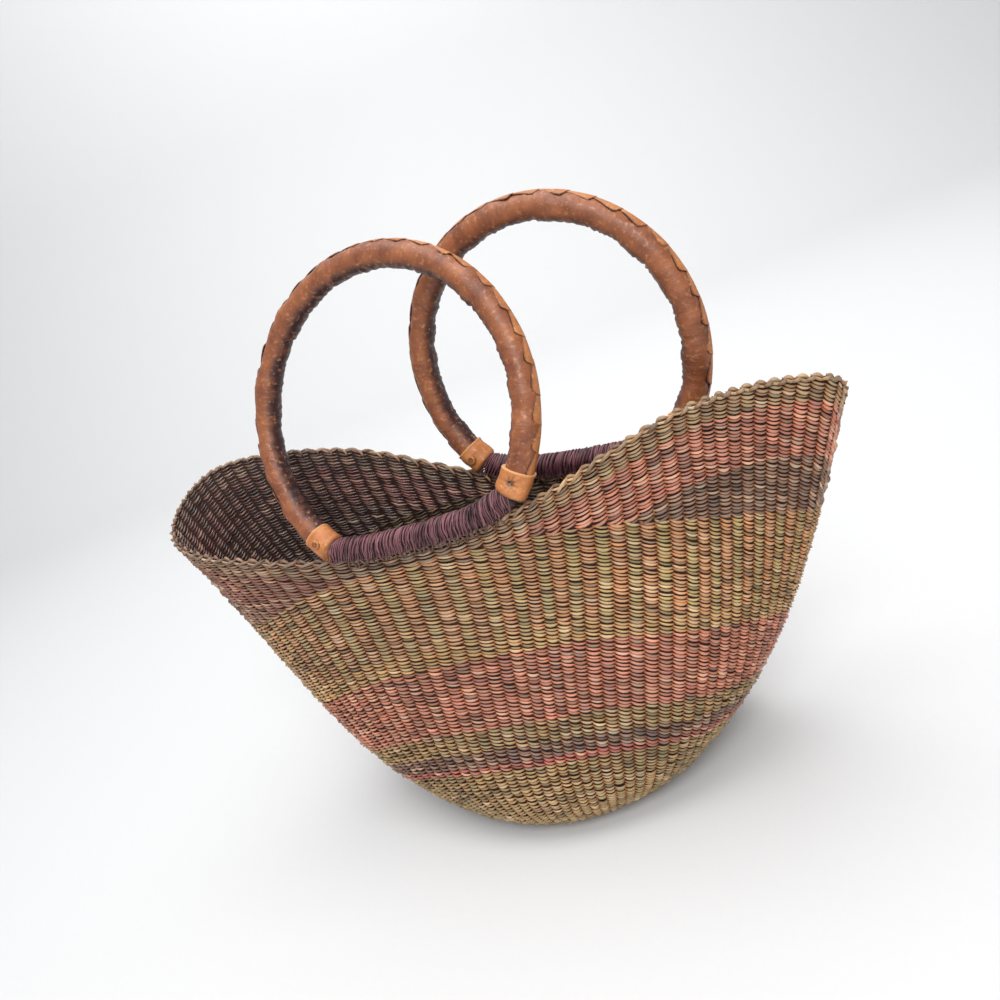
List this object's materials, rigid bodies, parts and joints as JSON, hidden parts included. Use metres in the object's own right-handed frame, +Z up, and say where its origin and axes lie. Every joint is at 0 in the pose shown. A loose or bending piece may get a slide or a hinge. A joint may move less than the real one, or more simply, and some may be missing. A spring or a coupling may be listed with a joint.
{
  "type": "straw basket bag",
  "caption": "Twined straw shopping basket with a flat oval base, raised wings at both ends, dyed stripes and round leather hoop handles bound to the rim.",
  "frame": {"origin": "middle of the flat base, on the surface that the basket stands on", "axes": "+Z up, +X towards the right wing seen from the front, the front of the basket faces -Y"},
  "size_m": [0.4241, 0.1517, 0.344],
  "materials": {
    "straw": "twined dyed grass, semi-matt",
    "plum_straw": "fine dyed grass, semi-matt",
    "leather": "satin, mottled red-brown",
    "pale_leather": "satin, light tan"
  },
  "bodies": {
    "root": {"woven_body": "straw", "rim_wrap_front": "plum_straw", "rim_wrap_back": "plum_straw", "handle_front": "leather", "handle_back": "leather", "handle_front_seam": "pale_leather", "handle_back_seam": "pale_leather", "handle_front_cap_left": "pale_leather", "handle_front_cap_right": "pale_leather", "handle_back_cap_left": "pale_leather", "handle_back_cap_right": "pale_leather", "handle_front_peg": "leather", "handle_back_peg": "leather"}
  },
  "joints": []
}
